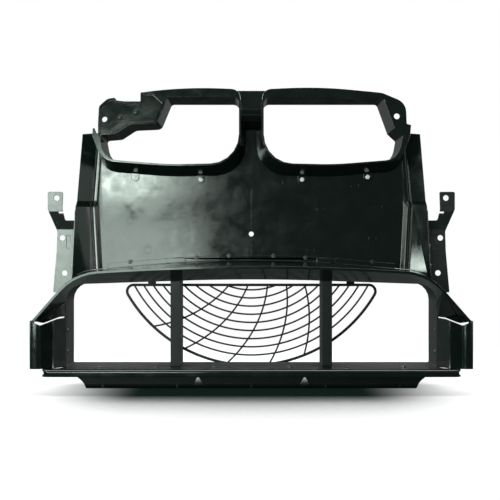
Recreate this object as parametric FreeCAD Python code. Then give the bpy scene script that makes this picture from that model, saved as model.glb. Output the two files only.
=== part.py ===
import FreeCAD, Part

import math
import os

# Front end panel of a car: two grille ducts over a plate, a flared intake with a fan guard below.
# All sizes are millimetres. X runs across the car, Z is up and the front of the car is towards -Y.
# The origin is the centre of the locating hole, on the front face of the plate.

# Sheet and fits
WALL = 3.0                # wall of every plastic moulding
STEEL = 2.0               # sheet of the side brackets
FIT = 0.3                 # clearance between two mouldings that pass each other
RIVET_FIT = 0.1           # clearance of a rivet in its hole, on the radius

# Overall sizes
SCOOP_HALF = 336.0        # half width over the side scoops of the intake
FLOOR_REAR_Z = -212.0     # floor of the rectangular duct
LIP_Y = -110.0            # front edge of the intake

# Straight runs that stand for a corner arc
BOW_R = 300.0             # an arc of more than this radius is a bow
BOW_STEPS = 8
CORNER_STEPS = 5
FLAT = 1e-7               # a side that leaves its plane by less than this is flat

# Centre plate
DUCT_TOP_Z = 214.0        # top of the grille openings
PLATE_LEVELS = (-90.0, 44.0, 53.0, DUCT_TOP_Z - 34.0)   # heights of the sheet's sections
PLATE_INSET = (48.0, 55.0, 55.8, 66.0)       # how far its edge lies inside the scoops at those heights
PLATE_HALF = tuple(SCOOP_HALF - inset for inset in PLATE_INSET)
FLANK_WIDTH = (48.0, 34.0, 34.2, 34.0)       # from there to the step forward of the middle
FLANK_STEP_X = tuple(half - width for half, width in zip(PLATE_HALF, FLANK_WIDTH))
FLANK_STEP = (6.0, 6.0, 1.0, 1.0)            # height of that step; above the ledge the flank lies back
FLANK_DEPTH = (20.0, 22.0, 13.0, 11.0)       # how far the outer edge of the flank stands forward
FLANK_GROOVE = 14.0       # from the step to the far side of the groove beside it
EDGE_RETURN = 8.0         # the turned edge of the flank ends this far behind the origin plane
PLATE_TOP_Z = DUCT_TOP_Z - 50.0   # top of the plate outside the ducts
PLATE_WEB_Z = DUCT_TOP_Z - 38.0   # top of the web between the ducts
LOCATING_HOLE_R = 4.0
BACK_RIB_HEIGHT = 9.0
BACK_RIB_X = (0.0, 62.0, 124.0, 186.0)
BACK_RIB_Z = (-12.0, 34.0, 78.0)
BACK_RIB_END = 192.0

# Grille ducts
DUCT_FRONT_Y = -50.0
DUCT_REAR_Y = 35.0
DUCT_LOW_Z = 108.5
DUCT_LOW_X = 130.0        # where the floor of a duct is lowest
DUCT_OUTER_X = PLATE_HALF[-1] - 32.0
DUCT_END_X = DUCT_OUTER_X - 6.5   # lower outer corner
DUCT_END_RISE = 8.0       # the floor of a duct rises this much towards that corner
DUCT_START_RISE = 2.5     # and this much towards the centre web
DUCT_INNER_X = 19.5       # wall beside the centre web
# Corners across and up from the upper outer corner of an opening, each with its radius
DUCT_FOLD = ((0, -61.0, 4.0), (-13.0, -49.0, 6.0), (-31.0, 0, 6.0))
ARM_FOLD = ((0, -60.0, 4.0), (-25.0, -58.0, 12.0), (-48.0, -43.0, 14.0), (-90.0, -41.0, 10.0),
            (-107.0, 0, 6.0))
RIM_EAR = ((11.5, -61.0, 2.0), (13.0, -43.5, 1.5), (6.0, -42.0, 1.0), (5.0, -9.0, 22.0), (-33.0, 7.0, 30.0))
ARM_REST = ((-65.0, -37.5, 3.0), (-65.0, 7.5, 1.0))   # the left rim stops here, beside the arm
RIM_BOW = (-132.0, 16.5, 700.0)                       # the top edge of a rim
ARM_EDGE = ((-106.5, -14.0, 2.0), (-106.5, -38.0, 0), (2.0, -64.0, 0), (2.0, -44.0, 6.0),
            (0.5, -15.0, 10.0), (-13.0, -3.5, 8.0), (-24.0, -1.5, 3.0), (-27.0, -6.0, 2.0),
            (-40.0, -7.4, 3.0), (-64.5, -7.4, 1.0), (-64.5, 7.0, 2.0), (-86.0, 5.0, 2.0))
ARM_POCKET = ((-39.0, -28.0, 3.0), (-62.0, -28.0, 3.0), (-62.0, -13.0, 3.0), (-39.0, -13.0, 3.0))
ARM_RIVETS = ((-57.0, -24.0), (-32.0, -32.0))
ARM_HOLE = (-8.0, -35.2)
CORNER_HOLE = (-9.5, -30.0)
SKIRT_BOTTOM = 13.0       # how far the skirt spreads below the duct where it lands on the plate
SKIRT_INNER = 8.0         # the same at the centre web
SKIRT_OUTER = 14.0        # the same at the outer corner
CORNER_HOLE_R = 4.5
RIM_END_RISE = 12.5       # top of a rim above the opening beside the bridge
DUCT_CLIP_X = (82.0, 188.0)

# Lower intake
BOX_HALF = SCOOP_HALF - 41.4   # half width of the opening inside the walls
MOUTH_HALF = SCOOP_HALF - 5.0
BOX_Y = -30.0             # front edge of the rectangular duct behind the flare
REAR_Y = 42.0             # rear face of the rectangular duct
BOX_TOP_Z = -81.0
BOX_BOW = 10.0            # rise of the ceiling in the middle
BOX_CORNER_R = 28.0
FLOOR_FRONT_Z = FLOOR_REAR_Z + 6.0
LIP_HEIGHT = 12.0
MOUTH_TOP_Z = -60.0
MOUTH_SHOULDER = SCOOP_HALF - 68.0    # where the top edge of the mouth turns down to its corner
SEAM_OUTSIDE = 7.4        # the upper skin meets the plate this much outside the duct's opening
MOUTH_BOW = 16.0
SLIT_Z = -131.5           # gap between the hood and the side scoops
SLIT_DROP = 7.0
SLIT = 2.0
FLANGE = 14.0             # rear flange of the rectangular duct
SEAM_FLANGE = 8.0         # upstand of the hood against the plate
SEAM_HALF = 232.0
SEAM_RIVET_X = (36.0, 88.0, 196.0)
SEAM_PAD = 2.0            # the two pads of the seam, above the struts, stand forward by this
SEAM_PAD_HALF = 15.0

# Struts
STRUT_X = 121.0
STRUT_WIDTH = 16.0
STRUT_Y = (-24.0, 38.0)

# Fan guard
GUARD_Z = 20.1            # the fan's axis
GUARD_RIM_R = GUARD_Z - FLOOR_REAR_Z + 5.7   # its lowest part lies on the rear flange
GUARD_RIM_WIDTH = 4.5
GUARD_RING_R = 112.4      # innermost ring that shows
GUARD_RING_COUNT = 9
GUARD_PITCH = 13.54
GUARD_WIRE = 2.8
GUARD_BAR_Z = -81.8
GUARD_THICK = 3.0
GUARD_STEP = 6.0          # degrees between the corners of a ring
GUARD_SHOULDER_R = 13.0
SPOKE_ANGLES = (43.3, 27.9, 9.8, -7.1, -21.6)
SPOKE_SWEEP = 0.187       # degrees of lean for each millimetre of radius
LUG_R = 7.0
GUARD_LUG_X = 165.0

# Apron under the intake
APRON_Y = -34.0
APRON_DROP = 35.0         # the foot lies this much below the floor
APRON_BOTTOM_Z = FLOOR_REAR_Z - APRON_DROP
APRON_FOOT = 66.0
APRON_TOP_HALF = BOX_HALF - 10.6
APRON_LOW_HALF = BOX_HALF - 32.6
APRON_WEB_X = (0.0, 118.0, 236.0)
APRON_SCREW_X = (60.0, 150.0, 240.0)
APRON_HOLE_X = 84.0

# Side brackets
BRACKET_Y = 6.0
BRACKET_JOGGLE = 13.0
BRACKET_HOLE_R = 4.5
EDGE_GAP = 0.7            # bracket flange outside the plate's turned edge, which leans a little
# Across from the plate's lower corner and up, with a radius
BRACKET_HOLES = ((26.0, 58.0), (19.5, -6.3), (15.7, -63.4))
BRACKET_EDGE = ((34.5, -95.0, 2.0), (28.5, -28.0, 8.0), (27.5, 4.0, 6.0), (40.5, 40.0, 5.0),
                (40.5, 68.0, 3.0), (15.5, 68.0, 3.0), (16.5, 40.0, 5.0), (13.5, 22.0, 3.0))
BRACKET_SLOT = ((6.0, -24.0, 3.4), (13.0, -24.0, 3.4), (13.0, -2.0, 3.4), (6.0, -2.0, 3.4))
BRACKET_RIVET_Z = (-52.0, -20.0, 34.0)
FLANGE_END_Z = (-68.0, 44.0)

# Rivets, screws and clips
RIVET_R = 2.4
RIVET_HEAD_R = 4.6
RIVET_HEAD = 1.8
SCREW_R = 2.5
CLIP_R = 3.0


def vec(x, y, z):
    return FreeCAD.Vector(x, y, z)


def unit(ax, ay, bx, by):
    length = math.hypot(bx - ax, by - ay)
    return (bx - ax) / length, (by - ay) / length


def grown(corners, grow):
    """Corners of a closed anticlockwise outline, moved outwards by grow, with their radii to match."""
    result = []
    count = len(corners)
    for i in range(count):
        u, v, r = corners[i]
        pu, pv, _ = corners[i - 1]
        nu, nv, _ = corners[(i + 1) % count]
        d1 = unit(pu, pv, u, v)
        d2 = unit(u, v, nu, nv)
        n1 = (d1[1], -d1[0])
        n2 = (d2[1], -d2[0])
        share = grow / (1 + n1[0] * n2[0] + n1[1] * n2[1])
        turn = d1[0] * d2[1] - d1[1] * d2[0]
        radius = 0.0
        if r > 0:
            radius = max(r + math.copysign(grow, grow * turn), 0.3)
        result.append((u + share * (n1[0] + n2[0]), v + share * (n1[1] + n2[1]), radius))
    return result


def band(path, thick):
    """Closed outline of a sheet: an open path of corners, with the thickness laid on its left side."""
    other = []
    count = len(path)
    for i in range(count):
        u, v, r = path[i]
        d1 = unit(*path[max(i - 1, 0)][:2], *path[max(i - 1, 0) + 1][:2])
        d2 = unit(*path[min(i, count - 2)][:2], *path[min(i, count - 2) + 1][:2])
        n1 = (-d1[1], d1[0])
        n2 = (-d2[1], d2[0])
        share = thick / (1 + n1[0] * n2[0] + n1[1] * n2[1])
        turn = d1[0] * d2[1] - d1[1] * d2[0]
        radius = 0.0
        if r > 0:
            radius = max(r - math.copysign(thick, turn), 0.3)
        other.append((u + share * (n1[0] + n2[0]), v + share * (n1[1] + n2[1]), radius))
    return list(path) + other[::-1]


def chords(corners):
    """The same closed outline with each corner arc made of short straight runs."""
    result = []
    count = len(corners)
    for i in range(count):
        u, v, r = corners[i]
        d1 = unit(*corners[i - 1][:2], u, v)
        d2 = unit(u, v, *corners[(i + 1) % count][:2])
        turn = math.atan2(d1[0] * d2[1] - d1[1] * d2[0], d1[0] * d2[0] + d1[1] * d2[1])
        if r == 0:
            result.append((u, v))
            continue
        back = r * math.tan(abs(turn) / 2)
        side = math.copysign(r, turn)
        cu, cv = u - d1[0] * back - d1[1] * side, v - d1[1] * back + d1[0] * side
        start = math.atan2(v - d1[1] * back - cv, u - d1[0] * back - cu)
        steps = BOW_STEPS if r > BOW_R else CORNER_STEPS
        for k in range(steps + 1):
            a = start + turn * k / steps
            result.append((cu + r * math.cos(a), cv + r * math.sin(a)))
    return result


def wire(corners, place):
    """Closed wire of straight runs; place turns (u, v) into a point in space."""
    points = [place(u, v) for u, v in chords(corners)]
    return Part.makePolygon(points + points[:1])


def front_wire(corners, y):
    return wire(corners, lambda u, v: vec(u, y, v))


def front_prism(corners, y1, y2):
    """Solid between two depths, from an outline seen from the front."""
    return Part.Face(front_wire(corners, y1)).extrude(vec(0, y2 - y1, 0))


def plan_prism(corners, z1, z2):
    """Solid between two heights, from an outline seen from above."""
    return Part.Face(wire(corners, lambda u, v: vec(u, v, z1))).extrude(vec(0, 0, z2 - z1))


def side_prism(corners, x1, x2):
    """Solid between two places across the car, from an outline in Y and Z."""
    return Part.Face(wire(corners, lambda u, v: vec(x1, u, v))).extrude(vec(x2 - x1, 0, 0))


def skin(sections):
    """Solid through closed rings of points, with flat sides, a twisted one as two triangles."""
    rings = [sections[0], sections[-1]]
    for a, b in zip(sections, sections[1:]):
        for i in range(len(a)):
            j = (i + 1) % len(a)
            normal = (a[j] - a[i]).cross(b[i] - a[i]).normalize()
            if abs(normal.dot(b[j] - a[i])) < FLAT:
                rings.append([a[i], a[j], b[j], b[i]])
            else:
                rings += [[a[i], a[j], b[i]], [a[j], b[j], b[i]]]
    solid = Part.Solid(Part.Shell([Part.Face(Part.makePolygon(ring + ring[:1])) for ring in rings]))
    return solid if solid.Volume > 0 else solid.reversed()


def loft(near, y1, far, y2):
    """Solid between two front outlines at two depths."""
    return skin([[vec(u, y1, v) for u, v in chords(near)], [vec(u, y2, v) for u, v in chords(far)]])


def mirrored(shape):
    return shape.mirror(vec(0, 0, 0), vec(1, 0, 0))


def both_sides(right_half):
    """Closed outline from its right half, which runs upwards; a last corner on X = 0 is used once."""
    left = [(-u, v, r) for u, v, r in right_half if u > 0]
    return list(right_half) + left[::-1]


def box(x1, x2, y1, y2, z1, z2):
    return Part.makeBox(x2 - x1, y2 - y1, z2 - z1, vec(x1, y1, z1))


def rod(x, y, z, r, length, axis):
    return Part.makeCylinder(r, length, vec(x, y, z), axis)


def fused(shapes):
    result = shapes[0].multiFuse(shapes[1:]) if len(shapes) > 1 else shapes[0]
    return result.removeSplitter()


def stud(r, start, length):
    """Plain eight-sided shank along Z; a round fastener of the same radius lies just inside its corners."""
    points = [vec(r * math.cos(i * math.pi / 4), r * math.sin(i * math.pi / 4), start) for i in range(8)]
    return Part.Face(Part.makePolygon(points + points[:1])).extrude(vec(0, 0, length))


def turned(body, point, axis):
    body.Placement = FreeCAD.Placement(vec(*point), FreeCAD.Rotation(vec(0, 0, 1), axis))
    return body


def rivet(point, axis, grip, r=RIVET_R, head_r=RIVET_HEAD_R, head=RIVET_HEAD):
    """Flat head in front of point, shank along axis through grip, and the set end behind it."""
    body = stud(head_r, -head, head).fuse(stud(r, 0, grip)).fuse(stud(head_r * 0.8, grip, head))
    return turned(body, point, axis)


def rivet_hole(point, axis, grip, r=RIVET_R):
    start = vec(*point) - axis * 1.0
    return turned(stud(r + RIVET_FIT, 0, grip + 2.0), (start.x, start.y, start.z), axis)


FRONT = vec(0, 1, 0)
ACROSS = vec(1, 0, 0)
UP = vec(0, 0, 1)


# Outlines that several pieces share

def from_corner(corners):
    """Corners that are given across and up from the upper outer corner of an opening."""
    return [(DUCT_OUTER_X + c[0], DUCT_TOP_Z + c[1], *c[2:]) for c in corners]


def on_left(corners):
    """The same outline on the left side, in the turning sense that the other helpers expect."""
    return [(-c[0], *c[1:]) for c in corners][::-1]


def duct_floor():
    """Lower side of an opening, from the centre web outwards."""
    return [(DUCT_INNER_X, DUCT_LOW_Z + DUCT_START_RISE, 46.0), (DUCT_LOW_X, DUCT_LOW_Z, 500.0),
            (DUCT_END_X, DUCT_LOW_Z + DUCT_END_RISE, 27.0)]


def duct_outline():
    """Right grille opening, from its lower inner corner anticlockwise, with the folded upper corner."""
    return duct_floor() + from_corner(DUCT_FOLD) + [(DUCT_INNER_X, DUCT_TOP_Z, 10.0)]


def left_duct_outline():
    """Left grille opening drawn on the right; its upper corner makes room for the sensor arm."""
    return duct_floor() + from_corner(ARM_FOLD) + [(DUCT_INNER_X, DUCT_TOP_Z, 10.0)]


def skirt_outline(opening):
    """Outline of the skirt where it lands on the plate: the opening, spread more below than beside."""
    result = []
    for u, v, r in grown(opening, WALL):
        low = max(0.0, min(1.0, (PLATE_TOP_Z - v) / (PLATE_TOP_Z - DUCT_LOW_Z)))
        outward = max(-1.0, min(1.0, (u - 130.0) / 90.0))
        shift = SKIRT_OUTER * outward * low if outward > 0 else SKIRT_INNER * outward
        result.append((u + shift, v - SKIRT_BOTTOM * low, r))
    return result


def rim_end():
    """Inner end of a rim, beside the bridge."""
    return [(DUCT_INNER_X - 1.0, DUCT_TOP_Z + RIM_END_RISE, 14.0),
            (DUCT_INNER_X - WALL, DUCT_TOP_Z - 14.0, 8.0)]


def rim_outline():
    """Flat rim round the top of a grille duct, with the ear that carries the corner hole."""
    foot = grown(duct_outline(), WALL)
    return foot[:3] + from_corner(RIM_EAR + (RIM_BOW,)) + rim_end()


def mouth_outline():
    """Front edge of the hood: nearly level on top, sloping down at both corners."""
    return both_sides([(MOUTH_HALF + 6, FLOOR_REAR_Z - 20, 0), (MOUTH_HALF + 6, SLIT_Z - SLIT_DROP, 0),
                       (MOUTH_SHOULDER, MOUTH_TOP_Z, 84.0), (0, MOUTH_TOP_Z + MOUTH_BOW, 3400.0)])


def seam_outline():
    """Where the upper skin of the hood meets the plate."""
    half = BOX_HALF + SEAM_OUTSIDE
    return both_sides([(half, FLOOR_REAR_Z - 20, 0), (half, SLIT_Z - SLIT_DROP, 0),
                       (half - 1.0, MOUTH_TOP_Z - 2, 45.0), (0, MOUTH_TOP_Z + MOUTH_BOW + 9, 1800.0)])


def box_outline():
    """Inside of the rectangular duct behind the flare."""
    return both_sides([(BOX_HALF, FLOOR_REAR_Z, 2.0), (BOX_HALF, BOX_TOP_Z, BOX_CORNER_R),
                       (0, BOX_TOP_Z + BOX_BOW, 3400.0)])


def throat_outline():
    """Rear end of the flare: the box opening with one more corner beside the slit, to loft from."""
    return both_sides([(BOX_HALF, FLOOR_REAR_Z - 20, 0), (BOX_HALF, SLIT_Z - SLIT_DROP, 0),
                       (BOX_HALF - 0.5, BOX_TOP_Z, BOX_CORNER_R), (0, BOX_TOP_Z + BOX_BOW, 3400.0)])


def floor_side(y):
    """Height of the top of the intake floor at a depth."""
    share = (y - LIP_Y) / (BOX_Y - LIP_Y)
    return FLOOR_FRONT_Z + (FLOOR_REAR_Z - FLOOR_FRONT_Z) * share


def hood_skin(grow=0.0):
    """Solid body under the upper skin of the hood."""
    return loft(grown(mouth_outline(), grow), LIP_Y, grown(seam_outline(), grow), -WALL)


def seam_top(x):
    """Height of the seam on the middle of the plate."""
    return MOUTH_TOP_Z + 21.5 - abs(x) * 0.062


def seam_rivet_places():
    return [(side * x, seam_top(x) + SEAM_FLANGE - 2.5) for side in (-1, 1) for x in SEAM_RIVET_X]


# Centre plate

def plate_section(level, thick):
    """Plan section of the plate at one of its levels, from left edge to right edge; Y grows to the rear."""
    step_x = FLANK_STEP_X[level]
    step = FLANK_STEP[level]
    half = PLATE_HALF[level]
    right = [(step_x, 0.0, 0), (step_x + 5, -step, 0), (step_x + FLANK_GROOVE - 5, -step + 0.4, 0),
             (step_x + FLANK_GROOVE - 2, -step + 2.6, 0), (step_x + FLANK_GROOVE, -step + 0.4, 0),
             (half, -FLANK_DEPTH[level], 0), (half + 0.5, EDGE_RETURN, 0)]
    left = [(-u, v, r) for u, v, r in right[::-1]]
    return band(left + right, thick)


def plate_edge(z):
    """Half width of the plate at a height."""
    for i in range(len(PLATE_LEVELS) - 1):
        if z < PLATE_LEVELS[i + 1]:
            break
    share = (z - PLATE_LEVELS[i]) / (PLATE_LEVELS[i + 1] - PLATE_LEVELS[i])
    return PLATE_HALF[i] + (PLATE_HALF[i + 1] - PLATE_HALF[i]) * share


def plate_form():
    """The stepped and curved sheet of the plate before its outline is cut."""
    sections = []
    for level, z in enumerate(PLATE_LEVELS):
        sections.append([vec(u, v, z) for u, v in chords(plate_section(level, WALL))])
    return skin(sections)


def plate_outline():
    """Front view of the plate before the ducts are cut out of it."""
    return both_sides([(PLATE_HALF[0] + 4, -78.0, 0), (PLATE_HALF[0] + 4, 40.0, 0),
                       (PLATE_HALF[-1] + 6, PLATE_TOP_Z - 4, 8.0), (DUCT_OUTER_X + 8, PLATE_TOP_Z, 4.0),
                       (DUCT_OUTER_X - 2, PLATE_TOP_Z - 14, 0), (DUCT_INNER_X - 3.5, PLATE_TOP_Z - 14, 0),
                       (DUCT_INNER_X - 5.5, PLATE_WEB_Z, 3.0)])


def back_ribs():
    """Stiffening ribs on the hidden side of the plate."""
    ribs = []
    for z in BACK_RIB_Z:
        ribs.append(box(-BACK_RIB_END, BACK_RIB_END, WALL - 0.5, WALL + BACK_RIB_HEIGHT, z - 1, z + 1))
    for x in BACK_RIB_X:
        for side in ((-1, 1) if x else (1,)):
            ribs.append(box(side * x - 1, side * x + 1, WALL - 0.5, WALL + BACK_RIB_HEIGHT,
                            BACK_RIB_Z[0], BACK_RIB_Z[-1]))
    ribs.append(rod(0, WALL - 0.5, 0, LOCATING_HOLE_R + 3.5, BACK_RIB_HEIGHT + 0.5, FRONT))
    return ribs


def centre_plate():
    sheet = plate_form().common(front_prism(plate_outline(), -60, 60))
    sheet = fused([sheet] + back_ribs())
    for outline in (duct_outline(), left_duct_outline()):
        tube = front_prism(grown(outline, WALL + FIT), -60, 60)
        if outline == left_duct_outline():
            tube = mirrored(tube)
        sheet = sheet.cut(tube)
    for side, outline in ((1, duct_outline()), (-1, left_duct_outline())):
        skirt = loft(grown(grown(outline, WALL), FIT), DUCT_FRONT_Y, grown(skirt_outline(outline), FIT), 0)
        if side < 0:
            skirt = mirrored(skirt)
        sheet = sheet.cut(skirt)
    sheet = sheet.cut(hood_skin(FIT)).cut(front_prism(grown(seam_outline(), FIT), -WALL - 1, 60))
    sheet = sheet.cut(rod(0, -20, 0, LOCATING_HOLE_R, 60, FRONT))
    for x, z in seam_rivet_places():
        sheet = sheet.cut(rivet_hole((x, -WALL, z), FRONT, 2 * WALL))
    for x, z in duct_clip_places():
        sheet = sheet.cut(rivet_hole((x, -WALL, z), FRONT, 2 * WALL, CLIP_R))
    for side in (-1, 1):
        for z in BRACKET_RIVET_Z:
            sheet = sheet.cut(rivet_hole((side * (PLATE_HALF[0] + 8), -6, z), vec(-side, 0, 0), 20))
    return sheet


def centre_bridge():
    """Cap between the tops of the two grille ducts, curving back to the web of the plate."""
    path = [(DUCT_FRONT_Y, DUCT_TOP_Z + 10, 0), (DUCT_FRONT_Y, PLATE_WEB_Z + 14, 14.0),
            (-34.0, PLATE_WEB_Z + 2, 14.0),
            (0.0, PLATE_WEB_Z - 8, 4.0), (0.0, PLATE_WEB_Z - 16, 0)]
    sheet = side_prism(band(path, WALL), -34, 34)
    sheet = sheet.cut(box(-40, 40, -0.5, 20, 100, 300))
    for side in (-1, 1):
        outline = rim_outline() if side > 0 else left_rim_outline()
        opening = duct_outline() if side > 0 else left_duct_outline()
        rim = front_prism(grown(outline, FIT), DUCT_FRONT_Y - 5, DUCT_REAR_Y)
        skirt = loft(grown(grown(opening, WALL), FIT), DUCT_FRONT_Y,
                     grown(skirt_outline(opening), FIT), 0)
        keep_out = rim.fuse(skirt)
        sheet = sheet.cut(keep_out if side > 0 else mirrored(keep_out))
    return sheet


# Grille ducts

def duct_foot(x):
    """Height at which the skirt below a duct lands on the plate."""
    rise = DUCT_END_RISE * max(0.0, (x - DUCT_LOW_X) / (DUCT_END_X - DUCT_LOW_X))
    rise += DUCT_START_RISE * max(0.0, (DUCT_LOW_X - x) / (DUCT_LOW_X - DUCT_INNER_X))
    return DUCT_LOW_Z + rise - WALL - SKIRT_BOTTOM * (1 - rise / (PLATE_TOP_Z - DUCT_LOW_Z))


def duct_clip_places():
    return [(side * x, duct_foot(x) - CLIP_R - 3.0) for side in (-1, 1) for x in DUCT_CLIP_X]


def left_rim_outline():
    """Rim of the left duct, drawn on the right: it stops short where the sensor arm takes over."""
    foot = grown(left_duct_outline(), WALL)
    return (foot[:3] + from_corner(((11.5, -61.0, 2.0), (11.0, -43.0, 1.5), (5.0, -57.0, 1.0)))
            + foot[4:6] + from_corner(ARM_REST + (RIM_BOW,)) + rim_end())


def grille_duct(opening, rim):
    """Tube through the panel, a skirt that slopes down to the plate, and a flat rim round the top."""
    tube_outer = grown(opening, WALL)
    tube = front_prism(tube_outer, DUCT_FRONT_Y, DUCT_REAR_Y)
    skirt = loft(tube_outer, DUCT_FRONT_Y, skirt_outline(opening), 0)
    hollow = loft(grown(tube_outer, -WALL * 0.8), DUCT_FRONT_Y, grown(skirt_outline(opening), -WALL), 0)
    flange = front_prism(rim, DUCT_FRONT_Y, DUCT_FRONT_Y + WALL)
    solid = fused([skirt.cut(hollow), tube, flange])
    solid = solid.cut(front_prism(opening, DUCT_FRONT_Y - 5, DUCT_REAR_Y + 5))
    return solid


def clip_ears(places):
    ears = []
    for x, z in places:
        ears.append(rod(x, -WALL, z, CLIP_R + 3.5, WALL, FRONT).fuse(
            box(x - CLIP_R - 3.5, x + CLIP_R + 3.5, -WALL, 0, z, z + CLIP_R + 5.0)))
    return ears


def right_grille_duct():
    places = [p for p in duct_clip_places() if p[0] > 0]
    solid = grille_duct(duct_outline(), rim_outline())
    ears = [ear.cut(front_prism(grown(duct_outline(), WALL * 0.5), -60, 60)) for ear in clip_ears(places)]
    solid = fused([solid] + ears)
    hole_x, hole_z = from_corner((CORNER_HOLE,))[0]
    solid = solid.cut(rod(hole_x, -60, hole_z, CORNER_HOLE_R, 30, FRONT))
    for x, z in places:
        solid = solid.cut(rivet_hole((x, -WALL, z), FRONT, WALL, CLIP_R))
    return solid


def arm_outline():
    """Sensor arm seen from the front; its foot follows the left duct below it."""
    return on_left(from_corner(ARM_EDGE))


def arm_rivet_places():
    return [(-x, z) for x, z in from_corner(ARM_RIVETS)]


def left_sensor_arm():
    """Pressed tray with a turned edge, a sunk pocket and a round boss with a fixing hole."""
    outer = front_prism(arm_outline(), DUCT_FRONT_Y - WALL, DUCT_FRONT_Y)
    walls = outer.cut(front_prism(grown(arm_outline(), -WALL), DUCT_FRONT_Y - 8, DUCT_FRONT_Y + 8))
    top_lip = walls.translated(vec(0, -WALL, 0))
    pocket = on_left(from_corner(ARM_POCKET))
    solid = fused([outer, top_lip])
    solid = solid.cut(front_prism(pocket, DUCT_FRONT_Y - 1.2, DUCT_FRONT_Y - 8))
    hole_x, hole_z = from_corner((ARM_HOLE,))[0]
    boss = rod(-hole_x, DUCT_FRONT_Y - WALL - 3, hole_z, 2 * CORNER_HOLE_R, WALL + 3, FRONT)
    solid = fused([solid, boss.common(front_prism(grown(arm_outline(), -0.5), -80, 0))])
    solid = solid.cut(rod(-hole_x, -90, hole_z, CORNER_HOLE_R, 60, FRONT))
    solid = solid.cut(mirrored(front_prism(grown(left_duct_outline(), WALL + FIT), -80, 60)))
    for x, z in arm_rivet_places():
        solid = solid.cut(rivet_hole((x, DUCT_FRONT_Y - WALL, z), FRONT, 2 * WALL))
    return solid


def left_grille_duct():
    places = [(-x, z) for x, z in duct_clip_places() if x < 0]
    solid = grille_duct(left_duct_outline(), left_rim_outline())
    back = on_left(grown(arm_outline(), -1.0))
    seat = front_prism(back, DUCT_FRONT_Y, DUCT_FRONT_Y + WALL)
    seat = seat.cut(front_prism(grown(left_duct_outline(), WALL * 0.5), -60, 60))
    ears = [ear.cut(front_prism(grown(left_duct_outline(), WALL * 0.5), -60, 60))
            for ear in clip_ears(places)]
    solid = fused([solid, seat] + ears)
    for x, z in places:
        solid = solid.cut(rivet_hole((x, -WALL, z), FRONT, WALL, CLIP_R))
    hole_x, hole_z = from_corner((ARM_HOLE,))[0]
    solid = mirrored(solid.cut(rod(hole_x, -90, hole_z, CORNER_HOLE_R, 60, FRONT)))
    for x, z in arm_rivet_places():
        solid = solid.cut(rivet_hole((x, DUCT_FRONT_Y - WALL, z), FRONT, 2 * WALL))
    return solid


# Lower intake

def slit_cutter(x_sign, drop):
    """Everything below the hood's V-shaped lower corner on one side, moved down by drop."""
    inside = BOX_HALF - 14.6
    outside = MOUTH_HALF + 70.0
    corners = [(inside, -400.0, 0), (outside, -400.0, 0), (outside, SLIT_Z + 6 - drop, 0),
               (MOUTH_HALF + 4, SLIT_Z - drop, 0), (MOUTH_HALF - 11, SLIT_Z - SLIT_DROP - drop, 3.0),
               (BOX_HALF + 8.4, SLIT_Z - drop, 0), (inside, SLIT_Z - drop, 0)]
    solid = front_prism(corners, -200, 200)
    return solid if x_sign > 0 else mirrored(solid)


def lower_duct_hood():
    """Flared roof of the intake: an upper skin that runs back to the plate and an inner one to the box."""
    inner = grown(mouth_outline(), -WALL - 1)
    upper = hood_skin().cut(loft(grown(mouth_outline(), -WALL), LIP_Y, grown(seam_outline(), -WALL), -WALL))
    throat = throat_outline()
    lower = loft(grown(inner, WALL), LIP_Y, grown(throat, WALL), BOX_Y)
    lower = lower.cut(loft(inner, LIP_Y, throat, BOX_Y))
    seam = front_prism(grown(seam_outline(), SEAM_FLANGE), -2 * WALL, -0.0)
    seam = seam.cut(front_prism(grown(seam_outline(), -WALL), -50, 50))
    seam = seam.common(box(-SEAM_HALF, SEAM_HALF, -WALL, 0, -90, 0))
    pads = []
    for x in (-STRUT_X, STRUT_X):
        low = seam_top(x) - 1.0
        pads.append(box(x - SEAM_PAD_HALF, x + SEAM_PAD_HALF, -WALL - SEAM_PAD, -WALL / 2,
                        low, low + SEAM_FLANGE))
    solid = fused([upper, lower, seam] + pads)
    solid = solid.cut(box(-400, 400, -200, 100, -400, SLIT_Z - SLIT_DROP))
    solid = solid.cut(front_prism(grown(box_outline(), WALL + FIT), BOX_Y, REAR_Y))
    for side in (-1, 1):
        solid = solid.cut(slit_cutter(side, 0))
    for x, z in seam_rivet_places():
        solid = solid.cut(rivet_hole((x, -WALL, z), FRONT, WALL))
    return solid


def floor_plan(grow=0.0):
    return both_sides([(SCOOP_HALF - 8 + grow, LIP_Y, 10.0), (BOX_HALF + WALL + grow, -70.0, 20.0),
                       (BOX_HALF + WALL + grow, BOX_Y, 0)])


def lower_duct_floor():
    """Floor sheet of the intake with its rolled front lip."""
    lip_low = FLOOR_FRONT_Z - LIP_HEIGHT
    path = [(LIP_Y, lip_low, 0), (LIP_Y, FLOOR_FRONT_Z, 5.0), (BOX_Y, FLOOR_REAR_Z, 0)]
    sheet = side_prism(band(path[::-1], WALL), -SCOOP_HALF, SCOOP_HALF)
    lip = side_prism(band([(LIP_Y, lip_low, 0), (LIP_Y + 16, lip_low, 0)], WALL), -SCOOP_HALF, SCOOP_HALF)
    sheet = fused([sheet, lip]).common(plan_prism(floor_plan(), -260, -150))
    for x, y in apron_screw_places():
        sheet = sheet.cut(rivet_hole((x, y, -260), UP, 100, SCREW_R))
    return sheet


def below_floor():
    corners = [(LIP_Y - 20, floor_side(LIP_Y - 20), 0), (LIP_Y - 20, -400.0, 0), (60.0, -400.0, 0),
               (60.0, floor_side(60.0), 0)]
    return side_prism(corners, -400, 400)


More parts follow.
